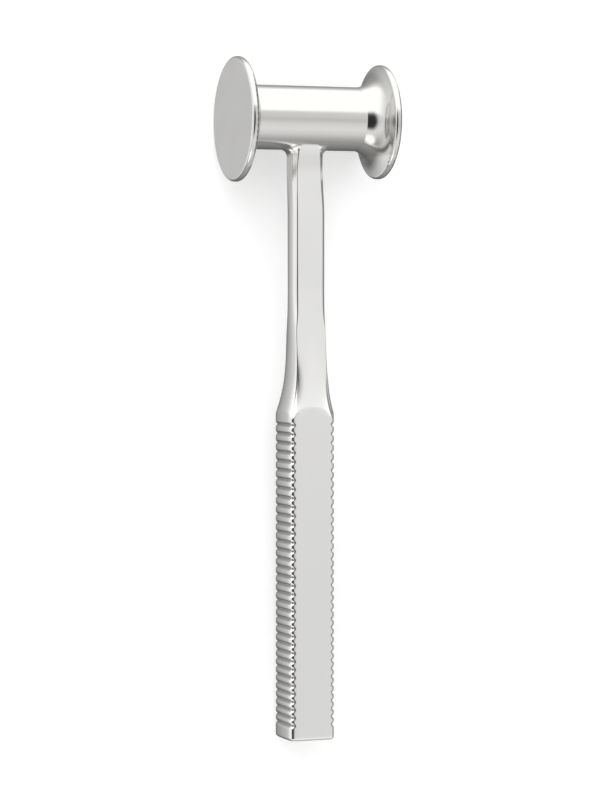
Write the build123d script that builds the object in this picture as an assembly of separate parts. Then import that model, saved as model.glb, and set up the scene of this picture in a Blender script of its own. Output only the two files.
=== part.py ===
from build123d import *
import math
import os

# Surgical mallet: a spool-shaped head with two flat striking discs and a square, grooved grip,
# made as one piece of stainless steel. All sizes are in millimetres.
# It is first built upright: X runs along the head towards the small disc, Z points up from the
# grip to the head, and -Y is the broad front of the handle. Zero is on the barrel's axis, over
# the middle of the handle. At the end the mallet is laid down on its two rims and its grip.

# Head
large_disc_diameter = 40.0
small_disc_diameter = 37.0
large_face_reach = 24.5      # from the middle of the handle to the large striking face
small_face_reach = 26.7      # from the middle of the handle to the small striking face
rim_thickness = 2.4
rim_round = 0.95             # radius on both edges of each rim
small_flare_length = 6.45    # hollow back of the small disc, from the rim to the crease on the barrel
large_flare_length = 3.6
flare_slope = 84.0           # degrees between the head's axis and the hollow back, next to the rim
barrel_diameter = 20.7
barrel_rise = 0.8            # the barrel's axis stands this much above the axis of the discs

# Neck
neck_width = 10.4
neck_depth = 7.7
neck_bevel = 1.25            # flat broken corner, measured along either side
bevel_softness = 0.35        # radius on both edges of the bevel
root_height = 12.0           # length over which the neck thickens towards the barrel
root_swell = 1.6             # what the neck gains to the front and to the back inside the barrel
root_cover = 4.14            # how deep under the barrel's surface the neck ends
root_bevel = 2.3
joint_fillet = 2.6

# Grip
handle_length = 200.3        # from the barrel's axis to the end of the grip
grip_width = 15.2
grip_depth = 15.3
grip_corner = 0.9
end_round = 0.9
flare_start = 66.0           # below the barrel's axis, where the neck begins to widen
flare_end = 100.5            # below the barrel's axis, where the widening is past the grip's sides
flare_width_gain = 3.5       # on each side, at the end of the flare
flare_depth_gain = 6.2       # to the front and to the back, at the end of the flare
flare_bevel = 3.7            # the neck's bevel has widened to this at the end of the flare

# Grooves across both sides of the grip
groove_count = 36
first_groove = 98.7          # below the barrel's axis
first_pitch = 2.98
last_pitch = 2.54
groove_depth = 1.05          # a little more than the grip's corner, so that its tips show at the front
groove_half_width = 0.8
cutter_margin = 1.0          # how far the groove's form stands outside the grip

BARREL_RADIUS = barrel_diameter / 2
ROOT_TOP = BARREL_RADIUS - root_cover     # the neck ends this far below the barrel's axis
HOLLOW_STEPS = 8
ROOT_STEPS = 4
FLARE_STEPS = 6


def rounded_bar(width, depth, corner, low, high):
    """Upright bar with rounded corners, between two heights."""
    section = Plane.XY.offset(low) * RectangleRounded(width, depth, corner)
    return extrude(section, amount=high - low)


def rim(diameter, face_reach):
    """Flat disc with both edges rounded, on its own axis below the barrel's."""
    radius = diameter / 2
    middle = face_reach - rim_thickness / 2
    plate = Pos(middle, 0, -barrel_rise) * Rot(0, 90, 0) * Cylinder(radius, rim_thickness)
    edges = plate.edges().filter_by(GeomType.CIRCLE)
    return fillet(edges, rim_round)


def hollow_back(diameter, face_reach, length):
    """Hollow trumpet from the barrel's crease to the rim, while its centre moves to the rim's axis."""
    rim_back = face_reach - rim_thickness
    crease = rim_back - length
    gain = diameter / 2 - rim_round - BARREL_RADIUS
    chord = math.atan2(gain, length)
    start_slope = 2 * chord - math.radians(flare_slope)
    turn = math.radians(flare_slope) - start_slope
    bend = math.hypot(gain, length) / (2 * math.sin(turn / 2))
    sections = []
    for step in range(HOLLOW_STEPS + 1):
        share = step / HOLLOW_STEPS
        slope = start_slope + turn * share
        reach = crease + bend * (math.sin(slope) - math.sin(start_slope))
        radius = BARREL_RADIUS + bend * (math.cos(start_slope) - math.cos(slope))
        centre = Plane(origin=(reach, 0, -barrel_rise * share), x_dir=(0, 1, 0), z_dir=(1, 0, 0))
        sections.append(centre * Circle(radius))
    return loft(sections)


def head():
    """Barrel with a disc at each end."""
    low = -(large_face_reach - rim_thickness / 2)
    high = small_face_reach - rim_thickness / 2
    barrel = Pos((low + high) / 2, 0, 0) * Rot(0, 90, 0) * Cylinder(BARREL_RADIUS, high - low)
    small = rim(small_disc_diameter, small_face_reach)
    small_back = hollow_back(small_disc_diameter, small_face_reach, small_flare_length)
    large = rim(large_disc_diameter, large_face_reach)
    large_back = hollow_back(large_disc_diameter, large_face_reach, large_flare_length)
    return barrel + [small, small_back] + [mirror(large, Plane.YZ), mirror(large_back, Plane.YZ)]


def edges_on_barrel(shape):
    """Edges of a shape that run round the barrel's surface, away from its seam."""
    def on_surface(edge):
        places = [edge @ share for share in (0.1, 0.4, 0.7)]
        near = all(abs(math.hypot(p.Y, p.Z) - BARREL_RADIUS) < 0.01 for p in places)
        return near and edge.geom_type != GeomType.LINE
    return [edge for edge in shape.edges() if on_surface(edge)]


def bevelled(width, depth, bevel, height):
    """Section of the neck: a rectangle with flat, slightly softened bevels on its corners."""
    section = chamfer(Rectangle(width, depth).vertices(), bevel)
    section = fillet(section.vertices(), bevel_softness)
    return Plane.XY.offset(height) * section


def flare_section(share):
    """Section of the widening neck, at a share of the way from the neck to the grip."""
    growth = share ** 2
    width = neck_width + 2 * flare_width_gain * growth
    depth = neck_depth + 2 * flare_depth_gain * growth
    bevel = neck_bevel + (flare_bevel - neck_bevel) * share
    return bevelled(width, depth, bevel, -(flare_start + (flare_end - flare_start) * share))


def root_section(share):
    """Section of the neck near the barrel, inside which it ends at the share of one."""
    growth = share ** 2
    depth = neck_depth + 2 * root_swell * growth
    bevel = neck_bevel + (root_bevel - neck_bevel) * growth
    return bevelled(neck_width, depth, bevel, -ROOT_TOP - root_height * (1 - share))


def handle_blank():
    """Neck, flare and square grip without grooves."""
    neck_section = bevelled(neck_width, neck_depth, neck_bevel, -flare_start)
    neck = extrude(neck_section, amount=flare_start - root_height - ROOT_TOP)
    root = loft([root_section(step / ROOT_STEPS) for step in range(ROOT_STEPS + 1)])
    flare = loft([flare_section(step / FLARE_STEPS) for step in range(FLARE_STEPS + 1)])
    below = extrude(flare_section(1), amount=-(handle_length - flare_end))
    grip_space = rounded_bar(grip_width, grip_depth, grip_corner, -handle_length, -flare_start)
    grip = (flare + below) & grip_space
    end_edges = grip.faces().sort_by(Axis.Z)[0].edges()
    grip = fillet(end_edges, end_round)
    return grip + neck + root


def groove_height(index):
    """Height of a groove: the pitch shrinks evenly from the first to the last."""
    shrink = (first_pitch - last_pitch) / (groove_count - 1)
    return -(first_groove + first_pitch * index - shrink * index ** 2 / 2)


def groove_pair():
    """Bars with the pointed section of a groove, across both sides of the grip."""
    mouth = -grip_width / 2
    outside = mouth - cutter_margin
    bottom = mouth + groove_depth
    upper = [(outside, groove_half_width), (mouth, groove_half_width)]
    lower = [(x, -z) for x, z in reversed(upper)]
    section = make_face(Plane.XZ * Polyline(*upper, (bottom, 0), *lower, close=True))
    bar = extrude(section, amount=grip_depth / 2 + cutter_margin, both=True)
    return [bar, Rot(0, 0, 180) * bar]


def grooved_handle():
    """Handle with its grooves cut, one pair at a time down the grip."""
    pair = groove_pair()
    cutters = [Pos(0, 0, groove_height(index)) * bar for index in range(groove_count) for bar in pair]
    return handle_blank() - cutters


def joined():
    """Head and handle run into each other with a hollow fillet and no seam."""
    spool = head()
    whole = spool + grooved_handle()
    reach = neck_width
    foot = [e for e in edges_on_barrel(whole) if abs(e.center().X) < reach and e.center().Z < 0]
    return fillet(foot, joint_fillet)


def laid_down(upright):
    """Front upwards, resting on both rims and on one corner of the grip's end."""
    large_radius = large_disc_diameter / 2
    small_radius = small_disc_diameter / 2
    large_contact = -large_face_reach + rim_thickness - rim_round
    small_contact = small_face_reach - rim_round
    roll = math.atan2(large_radius - small_radius, small_contact - large_contact)
    axis_height = large_contact * math.sin(roll) + (large_radius - rim_round) * math.cos(roll) + rim_round
    along = handle_length - barrel_rise - end_round
    across = (grip_width / 2 - end_round) * math.sin(roll) + (grip_depth / 2 - end_round) * math.cos(roll)
    pitch = math.asin((axis_height - end_round) / math.hypot(along, across)) - math.atan2(across, along)
    turned = Rot(-90, 0, 0) * Pos(0, 0, barrel_rise) * upright
    lying = Rot(math.degrees(pitch), 0, 0) * Rot(0, math.degrees(roll), 0) * turned
    box = lying.bounding_box()
    centre = box.center()
    return Pos(-centre.X, -centre.Y, -box.min.Z) * lying


mallet = laid_down(joined())
mallet.label = "mallet"
os.makedirs("parts", exist_ok=True)
export_step(mallet, "parts/mallet.step")
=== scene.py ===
import math

import bmesh
import bpy
from mathutils import Matrix, Vector


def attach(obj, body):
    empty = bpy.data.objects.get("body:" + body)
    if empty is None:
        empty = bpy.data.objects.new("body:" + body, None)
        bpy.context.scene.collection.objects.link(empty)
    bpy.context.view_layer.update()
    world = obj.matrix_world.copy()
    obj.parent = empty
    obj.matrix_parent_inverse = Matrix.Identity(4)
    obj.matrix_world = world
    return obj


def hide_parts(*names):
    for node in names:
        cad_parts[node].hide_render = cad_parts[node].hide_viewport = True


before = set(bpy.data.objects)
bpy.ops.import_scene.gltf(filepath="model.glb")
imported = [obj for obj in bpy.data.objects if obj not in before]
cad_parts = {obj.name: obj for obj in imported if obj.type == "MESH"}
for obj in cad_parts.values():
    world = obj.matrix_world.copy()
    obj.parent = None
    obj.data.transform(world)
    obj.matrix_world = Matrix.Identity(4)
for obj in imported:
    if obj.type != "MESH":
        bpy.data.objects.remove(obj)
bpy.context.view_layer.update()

# The mallet lies on its rims and its grip. The photograph shows it upright, so the camera is placed
# in the upright frame of the model's source and turned with it: X along the head, Y away from the
# viewer, Z up the handle, zero on the barrel's axis over the handle. Lengths there are millimetres.
MM = 0.001
BARREL_RISE = 0.8                     # from the axis of the discs up to the barrel's
LYING_ROLL = math.radians(1.7606)
LYING_PITCH = math.radians(3.3028)
LYING_SHIFT = Vector((-1.0764, 89.8057, 19.2840))

# Camera, fitted to the outlines in the photograph
FRAME_HEIGHT_PX = 800
FOCAL_PX = 3000.0
SENSOR_MM = 36.0
VIEW_TURN = math.radians(20.059)      # the viewer stands this much to the left of the front
VIEW_DROP = math.radians(1.6)         # and looks down the handle by this much
AXIS_DISTANCE = 968.8
AXIS_RIGHT = 1.5
AXIS_ABOVE = 63.8
CLIP_START = 0.05                     # metres
CLIP_END = 20

# The finished surface keeps the model's mesh down to a seam in the neck. Below it the handle is drawn in
# finer rings. Lengths are upright millimetres, and heights are measured down from the barrel's axis.
SEAM = 13.6                           # just below the fillet between neck and barrel
SEAM_GAP = 0.1                        # between the cut and the first ring below it
SEAM_REACH = 9.0                      # only what lies this near to the handle's middle is cut
HANDLE_END = 200.3
END_ROUND = 0.9

# Neck
NECK_HALF_WIDTH = 5.2
NECK_HALF_DEPTH = 3.85
NECK_CROWN = 0.4                      # how far the neck's sides bulge
NECK_TRIM = 0.15                      # what the neck loses on each side
NECK_SHIFT = 0.45                     # how far the neck stands towards the small disc
NECK_CHANGES = (16.0, 32.0)           # crown, trim, shift and narrower bevel come between these heights
SHIFT_ENDS = (82.0, 97.0)             # and the shift goes again between these
ROOT_END = 18.21                      # above this the neck thickens towards the barrel
ROOT_LENGTH = 12.0
ROOT_SWELL = 1.6
SEAM_BEVEL = 1.25
NECK_BEVEL = 0.7
ROOT_BEVEL_GAIN = 1.05
BEVEL_ENDS = 60.0                     # from here the bevel shrinks, to nothing at about 68
BEVEL_FADE = 0.0107                   # what it loses, times the square of the way from there

# Bell: the widening between neck and grip. A widening is its start, length, gain on each side and power.
BELL_WIDTH = (72.0, 22.5, 2.4, 2.8)
BELL_DEPTH = (55.0, 38.0, 3.8, 1.6)
BELL_FRONT_CROWN = 0.75               # how much further its front stands out in the middle
BELL_SIDE_CROWN = 0.6
BELL_CROWNS = (68.0, 93.0)            # the crowns grow between these heights

# Crispness: the power of an outline. High powers have crisp corners, low ones soft corners.
ROOT_CRISPNESS = 140.0
NECK_CRISPNESS = 60.0
BELL_CRISPNESS = 11.0
GRIP_CRISPNESS = 30.0
NECK_SOFTENS = (30.0, 62.0)
BELL_SOFTENS = (70.0, 94.0)

# Grip and its grooves
GRIP_HALF_WIDTH = 7.55
GRIP_HALF_DEPTH = 7.65
GRIP_CROWN = 0.35
GRIP_BEVEL = 0.4
GROOVE_COUNT = 36
FIRST_GROOVE = 98.7
FIRST_PITCH = 2.98
LAST_PITCH = 2.54
GROOVE_DEPTH = 0.62
GROOVE_REACH = 1.05                   # from the bottom of a groove to the top of the rounded rib
GROOVE_WRAP = (0.35, 1.35)            # on the broad faces it fades between these distances from the corner
CORNER_BITE = 0.85                    # share of its depth that it cuts from the corner's front as well
BITE_STARTS = (0.9, 1.0)              # that cut comes in between these shares of the way to the corner

# Rings of points from which the handle's surface is made
SIDE_STEPS = 24                       # points along each of the four sides
CORNER_STEPS = 6                      # of these, the ones in the zone at either corner
CORNER_ZONE = 1.1                     # least width of that zone
ROOT_RING_PITCH = 0.6
NECK_RING_PITCH = 1.5
BELL_RING_PITCH = 0.25
END_RING_PITCH = 1.0
GROOVE_RINGS = 6                      # on either side of a groove's bottom
BELOW_GROOVES = 0.5
END_RINGS = 8
END_FACE_INSET = 0.2                  # between the end's rounded edge and the edge of its flat face
CREASE = math.radians(26)
WELD = 1e-7                           # metres between points that count as one
TINY = 1e-7                           # keeps a divisor from being zero

# Places where one finish runs into the next, in upright millimetres
FACES_MIDDLE = 1.1                    # halfway between the two striking faces
FACES_BLEND = (25.35, 25.55)          # from there along the head
NECK_SIDE_BLEND = (5.6, 6.4)          # from the handle's middle along the head
ROOT_BLEND = (8.6, 9.2)               # down the handle, inside the neck's sides
HANDLE_BLEND = (11.6, 12.6)           # down the handle, everywhere
GRIP_BLEND = (96.0, 97.5)             # down the handle
RIBS_BLEND = (6.3, 7.1)               # from the handle's middle along the head

# Steel. A grain is its stretch, scale, detail and roughness, and a cloud has no stretch.
HEAD_STEEL = (0.62, 0.615, 0.60, 1)
HANDLE_STEEL = (0.82, 0.815, 0.80, 1)
# Painted shade: the dark colour and occlusion settings below darken the hollows of the grip's grooves,
# where shade falls
GROOVE_PAINTED_SHADE = (0.30, 0.295, 0.285, 1)
GROOVE_SHADE_REACH = 0.0012
GROOVE_SHADE_SAMPLES = 8
GROOVE_SHADE_POWER = 1.6
LENGTHWISE_GRAIN = ((1.6, 1.6, 0.05), 2.0, 4.0, 0.6)
FACE_GRAIN = ((0.3, 3.0, 0.3), 3.0, 4.0, 0.65)
FACE_GRAIN_SHARE = 0.5
GRAIN_STRENGTH = 0.12
GRAIN_HEIGHT = 0.00002
POLISH_CLOUD = (0.09, 3.0, 0.55)
POLISH_CLOUD_RANGE = (0.3, 0.7)
POLISH_ROUGHNESS = (0.12, 0.18)
FINE_CLOUD = (2.4, 2.0, 0.5)
FINE_ROUGHNESS = 0.04
FACE_ROUGHER = 0.22
RIBS_ROUGHER = 0.06

# Floor, in metres
FLOOR_HALF = 3.0
FLOOR_PAPER = (0.86, 0.86, 0.86, 1)
FLOOR_LIFT = 0.35                     # added where the camera sees it

# Lamp, in metres and watts
KEY_PLACE = Vector((-0.5, 0.8, 1.2))
KEY_AIM = Vector((0, 0, 0))
KEY_SIDE = 1.0
KEY_POWER = 4

# Tent. Angles of the bands are in degrees round the head's axis: 0 towards the viewer, 90 past the
# head's top, -90 down the handle and 180 away from the viewer. Each has its level of light.
TENT_BANDS = [
    (-180, 0.20), (-162, 0.14), (-140, 0.24), (-118, 0.36), (-95, 0.48), (-80, 0.66), (-62, 0.95),
    (-42, 1.12), (-22, 1.00), (-9, 0.80), (-3, 0.84), (2, 0.94), (10, 0.92), (18, 1.02), (21, 1.25),
    (24, 1.65), (116, 1.65), (126, 1.00), (142, 0.50), (160, 0.38), (176, 0.24),
]
RAMP_TOP = 2.0                        # a ramp holds levels up to one, so they go in as shares of this
# Spots: direction towards it in the upright frame, half width and half height as sines, level, softness
LEFT_SPOT = ((-0.94, 0.342, 0.05), 0.70, 0.55, 1.05, 0.7)
LOW_SPOT = ((-0.40, -0.25, -0.88), 0.30, 0.26, 1.6, 0.25)
CAMERA_SPOT = ((-0.342, -0.925, -0.13), 0.47, 0.46, 0.03, 0.45)
RIGHT_SHADE = ((1.0, 0.0, 0.0), 0.55, 0.60, 0.28, 0.35)
PLAIN_LEVEL = 0.8
WHITE = (1, 1, 1, 1)


def upright_to_lying():
    """Matrix from the upright frame, in millimetres, to the lying frame, in metres."""
    stand = Matrix.Translation((0, 0, BARREL_RISE))
    tip_over = Matrix.Rotation(math.radians(-90), 4, "X")
    roll = Matrix.Rotation(LYING_ROLL, 4, "Y")
    pitch = Matrix.Rotation(LYING_PITCH, 4, "X")
    return Matrix.Scale(MM, 4) @ Matrix.Translation(LYING_SHIFT) @ pitch @ roll @ tip_over @ stand


UPRIGHT = upright_to_lying()
TURN = UPRIGHT.to_3x3().normalized()


def make_camera():
    turn_cos, turn_sin = math.cos(VIEW_TURN), math.sin(VIEW_TURN)
    drop_cos, drop_sin = math.cos(VIEW_DROP), math.sin(VIEW_DROP)
    right = Vector((turn_cos, -turn_sin, 0))
    ahead = Vector((turn_sin * drop_cos, turn_cos * drop_cos, -drop_sin))
    above = Vector((turn_sin * drop_sin, turn_cos * drop_sin, drop_cos))
    level = Vector((turn_sin, turn_cos, 0))
    place = -right * AXIS_RIGHT - level * AXIS_DISTANCE - Vector((0, 0, AXIS_ABOVE))
    data = bpy.data.cameras.new("camera")
    data.sensor_fit = "VERTICAL"
    data.sensor_height = SENSOR_MM
    data.lens = FOCAL_PX / FRAME_HEIGHT_PX * SENSOR_MM
    data.clip_start = CLIP_START
    data.clip_end = CLIP_END
    camera = bpy.data.objects.new("camera", data)
    bpy.context.scene.collection.objects.link(camera)
    axes = Matrix((TURN @ right, TURN @ above, TURN @ -ahead)).transposed()
    camera.matrix_world = Matrix.Translation(UPRIGHT @ place) @ axes.to_4x4()
    bpy.context.scene.camera = camera


class Nodes:
    """Short way to add and join shader nodes in one tree."""

    def __init__(self, tree):
        self.tree = tree
        tree.nodes.clear()

    def add(self, kind, settings=None, **inputs):
        node = self.tree.nodes.new("ShaderNode" + kind)
        for name, value in (settings or {}).items():
            setattr(node, name, value)
        for name, value in inputs.items():
            self.put(node.inputs[name.replace("_", " ")], value)
        return node

    def put(self, socket, value):
        if isinstance(value, bpy.types.NodeSocket):
            self.tree.links.new(value, socket)
        else:
            socket.default_value = value

    def maths(self, operation, *values):
        node = self.add("Math", {"operation": operation})
        for socket, value in zip(node.inputs, values):
            self.put(socket, value)
        return node.outputs[0]

    def span(self, value, start, end, low=0.0, high=1.0):
        """Runs from low at the start to high at the end, and stays level outside them."""
        node = self.add("MapRange", Value=value, From_Min=start, From_Max=end, To_Min=low, To_Max=high)
        return node.outputs[0]

    def mixed(self, share, first, second):
        """Colour between the first, at a share of zero, and the second."""
        node = self.add("Mix", {"data_type": "RGBA"})
        for index, value in ((0, share), (6, first), (7, second)):
            self.put(node.inputs[index], value)
        return node.outputs[2]

    def ramp(self, factor, stops):
        node = self.add("ValToRGB", Fac=factor)
        elements = node.color_ramp.elements
        while len(elements) < len(stops):
            elements.new(0.5)
        for element, (position, level) in zip(elements, stops):
            element.position = position
            element.color = (level, level, level, 1)
        return node.outputs["Color"]

    def cloud(self, vector, scale, detail, roughness):
        node = self.add("TexNoise", Vector=vector, Scale=scale, Detail=detail, Roughness=roughness)
        return node.outputs["Fac"]

    def grain(self, vector, stretch, scale, detail, roughness):
        stretched = self.add("Mapping", {"vector_type": "POINT"}, Vector=vector, Scale=stretch)
        return self.cloud(stretched.outputs["Vector"], scale, detail, roughness)

    def finish(self, kind, shader):
        out = self.add(kind)
        self.put(out.inputs["Surface"], shader)


def upright_place(nodes):
    """Place on the mallet in the upright frame, in millimetres."""
    inverse = UPRIGHT.inverted()
    place = nodes.add("TexCoord").outputs["Object"]
    upright = nodes.add("Mapping", {"vector_type": "POINT"}, Vector=place)
    upright.inputs["Location"].default_value = inverse.to_translation()
    upright.inputs["Rotation"].default_value = inverse.to_3x3().normalized().to_euler()
    upright.inputs["Scale"].default_value = (1 / MM, 1 / MM, 1 / MM)
    return upright.outputs["Vector"]


def finish_zones(nodes, where):
    """Shares, from 0 to 1, of the striking faces, the handle, the grip and the grip's ribs at a place."""
    parts = nodes.add("SeparateXYZ", Vector=where)
    along = parts.outputs["X"]
    down = nodes.maths("MULTIPLY", parts.outputs["Z"], -1)
    side = nodes.maths("ABSOLUTE", along)
    reach = nodes.maths("ABSOLUTE", nodes.maths("SUBTRACT", along, FACES_MIDDLE))
    on_face = nodes.span(reach, *FACES_BLEND)
    in_neck = nodes.maths("SUBTRACT", 1.0, nodes.span(side, *NECK_SIDE_BLEND))
    root = nodes.maths("MULTIPLY", nodes.span(down, *ROOT_BLEND), in_neck)
    on_handle = nodes.maths("MAXIMUM", root, nodes.span(down, *HANDLE_BLEND))
    on_grip = nodes.span(down, *GRIP_BLEND)
    on_ribs = nodes.maths("MULTIPLY", on_grip, nodes.span(side, *RIBS_BLEND))
    return on_face, on_handle, on_grip, on_ribs


def steel_roughness(nodes, where, on_face, on_ribs):
    """Uneven polish, with duller striking faces and ribs."""
    polish_cloud = nodes.cloud(where, *POLISH_CLOUD)
    rough = nodes.span(polish_cloud, *POLISH_CLOUD_RANGE, *POLISH_ROUGHNESS)
    fine = nodes.maths("SUBTRACT", nodes.cloud(where, *FINE_CLOUD), 0.5)
    for share, gain in ((fine, FINE_ROUGHNESS), (on_face, FACE_ROUGHER), (on_ribs, RIBS_ROUGHER)):
        rough = nodes.maths("ADD", rough, nodes.maths("MULTIPLY", share, gain))
    return rough


def steel_grain(nodes, where, on_face):
    """Normal with a fine grain along the handle and a cross grain on the striking faces."""
    cross = nodes.maths("MULTIPLY", nodes.grain(where, *FACE_GRAIN), on_face)
    cross = nodes.maths("MULTIPLY", cross, FACE_GRAIN_SHARE)
    height = nodes.maths("ADD", nodes.grain(where, *LENGTHWISE_GRAIN), cross)
    bump = nodes.add("Bump", Strength=GRAIN_STRENGTH, Distance=GRAIN_HEIGHT, Height=height)
    return bump.outputs["Normal"]


def steel_colour(nodes, on_face, on_handle, on_grip):
    """Brighter steel on the handle and the striking faces, and painted shade down in the grooves."""
    body = nodes.mixed(nodes.maths("MAXIMUM", on_handle, on_face), HEAD_STEEL, HANDLE_STEEL)
    # Painted shade: ambient occlusion darkens the grip's grooves towards the dark groove colour
    settings = {"samples": GROOVE_SHADE_SAMPLES, "only_local": True}
    groove_occlusion = nodes.add("AmbientOcclusion", settings, Distance=GROOVE_SHADE_REACH)
    openness = nodes.maths("POWER", groove_occlusion.outputs["AO"], GROOVE_SHADE_POWER)
    painted_shade = nodes.maths("MULTIPLY", nodes.maths("SUBTRACT", 1.0, openness), on_grip)
    return nodes.mixed(painted_shade, body, GROOVE_PAINTED_SHADE)


def steel():
    """Ground and polished stainless steel."""
    material = bpy.data.materials.new("stainless_steel")
    material.use_nodes = True
    nodes = Nodes(material.node_tree)
    where = upright_place(nodes)
    on_face, on_handle, on_grip, on_ribs = finish_zones(nodes, where)
    shader = nodes.add("BsdfPrincipled", Metallic=1.0)
    nodes.put(shader.inputs["Base Color"], steel_colour(nodes, on_face, on_handle, on_grip))
    nodes.put(shader.inputs["Roughness"], steel_roughness(nodes, where, on_face, on_ribs))
    nodes.put(shader.inputs["Normal"], steel_grain(nodes, where, on_face))
    nodes.finish("OutputMaterial", shader.outputs[0])
    return material


def floor_material():
    """Pale paper: the camera sees it near white, with the mallet's soft shadow on it."""
    material = bpy.data.materials.new("floor_paper")
    material.use_nodes = True
    nodes = Nodes(material.node_tree)
    paper = nodes.add("BsdfDiffuse", Color=FLOOR_PAPER)
    seen = nodes.add("LightPath").outputs["Is Camera Ray"]
    lift = nodes.add("Emission", Strength=nodes.maths("MULTIPLY", seen, FLOOR_LIFT))
    both = nodes.add("AddShader")
    nodes.put(both.inputs[0], paper.outputs[0])
    nodes.put(both.inputs[1], lift.outputs[0])
    nodes.finish("OutputMaterial", both.outputs[0])
    return material


def make_floor():
    mesh = bpy.data.meshes.new("floor")
    corners = [(x * FLOOR_HALF, y * FLOOR_HALF, 0) for x, y in ((-1, -1), (1, -1), (1, 1), (-1, 1))]
    mesh.from_pydata(corners, [], [(0, 1, 2, 3)])
    floor = bpy.data.objects.new("floor", mesh)
    bpy.context.scene.collection.objects.link(floor)
    mesh.materials.append(floor_material())
    floor.visible_glossy = False


def make_world():
    """Studio tent that only reflections see: bands of light round the head's axis and a few soft spots."""
    world = bpy.data.worlds.new("studio")
    bpy.context.scene.world = world
    world.use_nodes = True
    nodes = Nodes(world.node_tree)
    direction = nodes.add("TexCoord").outputs["Generated"]

    def along(axis):
        """Share of the direction that lies along an axis of the upright frame."""
        product = nodes.add("VectorMath", {"operation": "DOT_PRODUCT"})
        nodes.put(product.inputs[0], direction)
        product.inputs[1].default_value = TURN @ Vector(axis).normalized()
        return product.outputs["Value"]

    def squared_share(axis, half):
        share = nodes.maths("ABSOLUTE", nodes.maths("DIVIDE", along(axis), half))
        return nodes.maths("POWER", share, 2)

    def with_spot(level, spot):
        """Mixes a soft oval spot into a level."""
        towards, half_width, half_height, spot_level, softness = spot
        towards = Vector(towards).normalized()
        sideways = towards.cross(Vector((0, 0, 1))).normalized()
        upwards = sideways.cross(towards)
        across, up = squared_share(sideways, half_width), squared_share(upwards, half_height)
        inside = nodes.span(nodes.maths("ADD", across, up), 1 - softness, 1 + softness, 1.0, 0.0)
        facing = nodes.maths("GREATER_THAN", along(towards), 0.0)
        share = nodes.maths("MULTIPLY", inside, facing)
        change = nodes.maths("MULTIPLY", nodes.maths("SUBTRACT", spot_level, level), share)
        return nodes.maths("ADD", level, change)

    angle = nodes.maths("ARCTAN2", along((0, 0, 1)), along((0, -1, 0)))
    turn_share = nodes.maths("ADD", nodes.maths("DIVIDE", angle, 2 * math.pi), 0.5)
    stops = [((degrees + 180) / 360, level / RAMP_TOP) for degrees, level in TENT_BANDS]
    level = nodes.maths("MULTIPLY", nodes.ramp(turn_share, stops), RAMP_TOP)
    for spot in (RIGHT_SHADE, LEFT_SPOT, LOW_SPOT, CAMERA_SPOT):
        level = with_spot(level, spot)
    plain = nodes.add("Background", Color=WHITE, Strength=PLAIN_LEVEL)
    tent = nodes.add("Background", Color=WHITE, Strength=level)
    pick = nodes.add("MixShader", Fac=nodes.add("LightPath").outputs["Is Glossy Ray"])
    nodes.put(pick.inputs[1], plain.outputs[0])
    nodes.put(pick.inputs[2], tent.outputs[0])
    nodes.finish("OutputWorld", pick.outputs[0])


def make_key_light():
    """Soft lamp over the mallet. It casts the shadow, and reflections don't see it."""
    data = bpy.data.lights.new("key", "AREA")
    data.shape = "RECTANGLE"
    data.size = KEY_SIDE
    data.size_y = KEY_SIDE
    data.energy = KEY_POWER
    light = bpy.data.objects.new("key", data)
    bpy.context.scene.collection.objects.link(light)
    light.location = KEY_PLACE
    light.rotation_euler = (KEY_AIM - KEY_PLACE).to_track_quat("-Z", "Y").to_euler()
    light.visible_glossy = False


def ease(value, start, end):
    """Runs smoothly from 0 at the start to 1 at the end."""
    share = min(1.0, max(0.0, (value - start) / (end - start)))
    return share * share * (3 - 2 * share)


def widening(down, start, length, gain, power):
    return gain * (max(0.0, down - start) / length) ** power


def outside(x, y, half_width, half_depth, side_crown, front_crown, crispness, bevel):
    """How far out a point lies of a bevelled rectangle with crowned sides: 1 on the outline."""
    x, y = abs(x), abs(y)
    off_side = min(1.0, y * half_width / max(x * half_depth, TINY))
    off_front = min(1.0, x * half_depth / max(y * half_width, TINY))
    side = half_width + side_crown * (1 - off_side ** 2)
    front = half_depth - front_crown * off_front ** 2
    corner = half_width + half_depth - front_crown - bevel
    total = (x / side) ** crispness + (y / front) ** crispness + ((x + y) / corner) ** crispness
    return total ** (1 / crispness)


def neck_and_bell(down):
    """Half width, half depth, crowns, crispness and bevel of neck and bell at one height."""
    change = ease(down, *NECK_CHANGES)
    root = (max(0.0, ROOT_END - down) / ROOT_LENGTH) ** 2
    half_width = NECK_HALF_WIDTH - NECK_TRIM * change + widening(down, *BELL_WIDTH)
    half_depth = NECK_HALF_DEPTH + ROOT_SWELL * root + widening(down, *BELL_DEPTH)
    crowning = ease(down, *BELL_CROWNS)
    side_crown = NECK_CROWN * change + (BELL_SIDE_CROWN - NECK_CROWN) * crowning
    front_crown = BELL_FRONT_CROWN * crowning
    crispness = ROOT_CRISPNESS * (NECK_CRISPNESS / ROOT_CRISPNESS) ** ease(down, *NECK_SOFTENS)
    crispness *= (BELL_CRISPNESS / NECK_CRISPNESS) ** ease(down, *BELL_SOFTENS)
    bevel = SEAM_BEVEL + (NECK_BEVEL - SEAM_BEVEL) * change + ROOT_BEVEL_GAIN * root
    bevel -= BEVEL_FADE * max(0.0, down - BEVEL_ENDS) ** 2
    return half_width, half_depth, side_crown, front_crown, crispness, bevel


def side_place(step, zone):
    """Place of a point along a side, from -1 to 1. Points are close at both edges of a corner zone."""
    if step > SIDE_STEPS / 2:
        return -side_place(SIDE_STEPS - step, zone)
    if step <= CORNER_STEPS:
        return -1 + zone * (1 - math.cos(math.pi * step / CORNER_STEPS)) / 2
    share = (step - CORNER_STEPS) / (SIDE_STEPS - 2 * CORNER_STEPS)
    return (zone - 1) * math.cos(math.pi * share)


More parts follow.
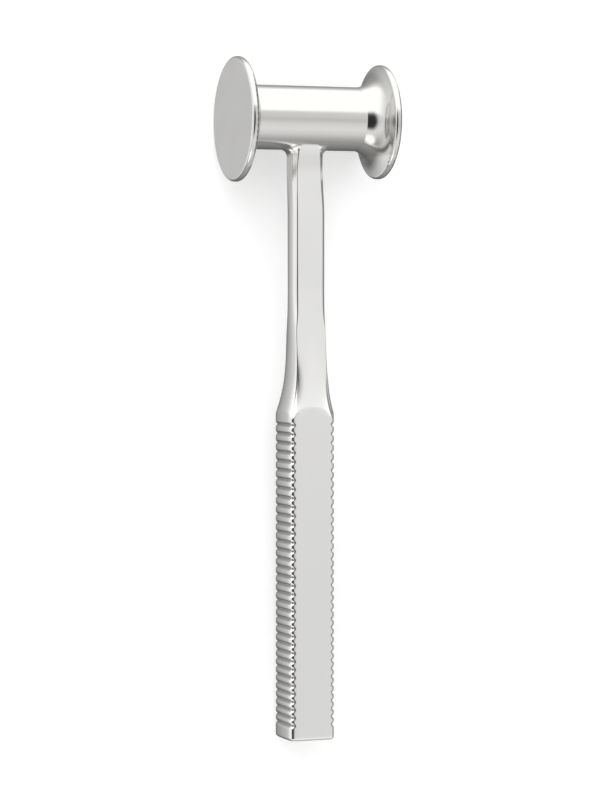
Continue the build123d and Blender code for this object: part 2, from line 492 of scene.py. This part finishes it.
def outline(down, dip, inset):
    """Points round the handle at one height: neck and bell, cut by the grip's faces."""
    bell = neck_and_bell(down)
    bell_width, bell_depth, bevel = bell[0], bell[1], bell[-1]
    grip_width, grip_depth = GRIP_HALF_WIDTH - inset, GRIP_HALF_DEPTH - inset
    grip = (grip_width, grip_depth, GRIP_CROWN, 0, GRIP_CRISPNESS, GRIP_BEVEL)
    width, depth = min(bell_width, grip_width), min(bell_depth, grip_depth)
    shift = NECK_SHIFT * ease(down, *NECK_CHANGES) * (1 - ease(down, *SHIFT_ENDS))
    points = []
    for turn in range(4):
        on_broad_face = turn % 2 == 1
        zone = max(bevel, CORNER_ZONE) / (width if on_broad_face else depth)
        for step in range(SIDE_STEPS):
            along = side_place(step, zone)
            unit = ((1, along), (-along, 1), (-1, -along), (along, -1))[turn]
            x, y = unit[0] * width, unit[1] * depth
            out = max(outside(x, y, *bell), outside(x, y, *grip))
            from_corner = grip_width * (1 - abs(along)) if on_broad_face else 0
            fade = 1 - ease(from_corner, *GROOVE_WRAP)
            bite = CORNER_BITE * (fade if on_broad_face else ease(abs(along), *BITE_STARTS))
            moved_x = x / out - math.copysign(dip * fade, x)
            moved_y = y / out - math.copysign(dip * bite, y)
            points.append((moved_x + shift, moved_y))
    return points


def evenly(start, end, pitch):
    """Even steps of at most the pitch, without the end itself."""
    count = math.ceil((end - start) / pitch)
    return [start + (end - start) * step / count for step in range(count)]


def groove_bottom(index):
    """Height of a groove: the pitch shrinks evenly from the first to the last."""
    shrink = (FIRST_PITCH - LAST_PITCH) / (GROOVE_COUNT - 1)
    return FIRST_GROOVE + FIRST_PITCH * index - shrink * index ** 2 / 2


def ring_levels():
    """Height, groove depth and inset of every ring, downwards."""
    neck_start, bell_start = NECK_CHANGES[1], BELL_DEPTH[0]
    plain = evenly(SEAM + SEAM_GAP, neck_start, ROOT_RING_PITCH)
    plain += evenly(neck_start, bell_start, NECK_RING_PITCH)
    plain += evenly(bell_start, FIRST_GROOVE - GROOVE_REACH, BELL_RING_PITCH)
    levels = [(down, 0, 0) for down in plain]
    for index in range(GROOVE_COUNT):
        for step in range(-GROOVE_RINGS, GROOVE_RINGS + 1):
            share = step / GROOVE_RINGS
            dip = GROOVE_DEPTH * (1 - math.sin(math.pi / 2 * abs(share)))
            levels.append((groove_bottom(index) + GROOVE_REACH * share, dip, 0))
    rounding_start = HANDLE_END - END_ROUND
    last_rib = levels[-1][0]
    below = evenly(last_rib + BELOW_GROOVES, rounding_start, END_RING_PITCH)
    levels += [(down, 0, 0) for down in below]
    for step in range(END_RINGS + 1):
        angle = math.pi / 2 * step / END_RINGS
        levels.append((rounding_start + END_ROUND * math.sin(angle), 0, END_ROUND * (1 - math.cos(angle))))
    levels.append((HANDLE_END, 0, END_ROUND + END_FACE_INSET))
    return levels


def add_head(shape):
    """Adds the model's mesh above the seam, with its normals kept, and returns the cut's edges."""
    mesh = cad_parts["mallet"].data.copy()
    kept = mesh.attributes.new("kept_normal", "FLOAT_VECTOR", "CORNER")
    kept.data.foreach_set("vector", [part for corner in mesh.corner_normals for part in corner.vector])
    shape.from_mesh(mesh)
    bmesh.ops.remove_doubles(shape, verts=shape.verts[:], dist=WELD)
    inverse = UPRIGHT.inverted()
    places = {vertex: inverse @ vertex.co for vertex in shape.verts}
    below = {vertex for vertex, at in places.items() if at.z < -SEAM and abs(at.x) < SEAM_REACH}
    faces = [face for face in shape.faces if any(vertex in below for vertex in face.verts)]
    edges = {edge for face in faces for edge in face.edges}
    corners = {vertex for face in faces for vertex in face.verts}
    cut = bmesh.ops.bisect_plane(
        shape,
        geom=[*corners, *edges, *faces],
        plane_co=UPRIGHT @ Vector((0, 0, -SEAM)),
        plane_no=TURN @ Vector((0, 0, -1)),
        clear_outer=True,
    )
    return [part for part in cut["geom_cut"] if isinstance(part, bmesh.types.BMEdge)]


def add_handle(shape):
    """Adds the handle's rings and end face, and returns the edges of its top ring."""
    rings = []
    for down, dip, inset in ring_levels():
        places = [UPRIGHT @ Vector((x, y, -down)) for x, y in outline(down, dip, inset)]
        rings.append([shape.verts.new(place) for place in places])
    for upper, lower in zip(rings, rings[1:]):
        for index in range(len(upper)):
            after = (index + 1) % len(upper)
            shape.faces.new((upper[index], lower[index], lower[after], upper[after]))
    shape.faces.new(rings[-1])
    top = rings[0]
    return [shape.edges.get((top[index - 1], top[index])) for index in range(len(top))]


def mallet_surface():
    """The whole mallet in one closed surface, which stands for the model's node."""
    shape = bmesh.new()
    cut_edges = add_head(shape)
    top_edges = add_handle(shape)
    bmesh.ops.bridge_loops(shape, edges=cut_edges + top_edges)
    bmesh.ops.recalc_face_normals(shape, faces=shape.faces[:])
    for face in shape.faces:
        face.smooth = True
    mesh = bpy.data.meshes.new("mallet_surface")
    shape.to_mesh(mesh)
    shape.free()
    mesh.set_sharp_from_angle(angle=CREASE)
    kept = mesh.attributes["kept_normal"]
    normals = [tuple(corner.vector) for corner in kept.data]
    mesh.attributes.remove(kept)
    mesh.normals_split_custom_set(normals)
    piece = bpy.data.objects.new("mallet_surface", mesh)
    bpy.context.scene.collection.objects.link(piece)
    mesh.materials.clear()
    mesh.materials.append(steel())
    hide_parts("mallet")
    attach(piece, "root")


make_camera()
make_floor()
make_world()
make_key_light()
mallet_surface()
bpy.context.scene.view_settings.view_transform = "Standard"
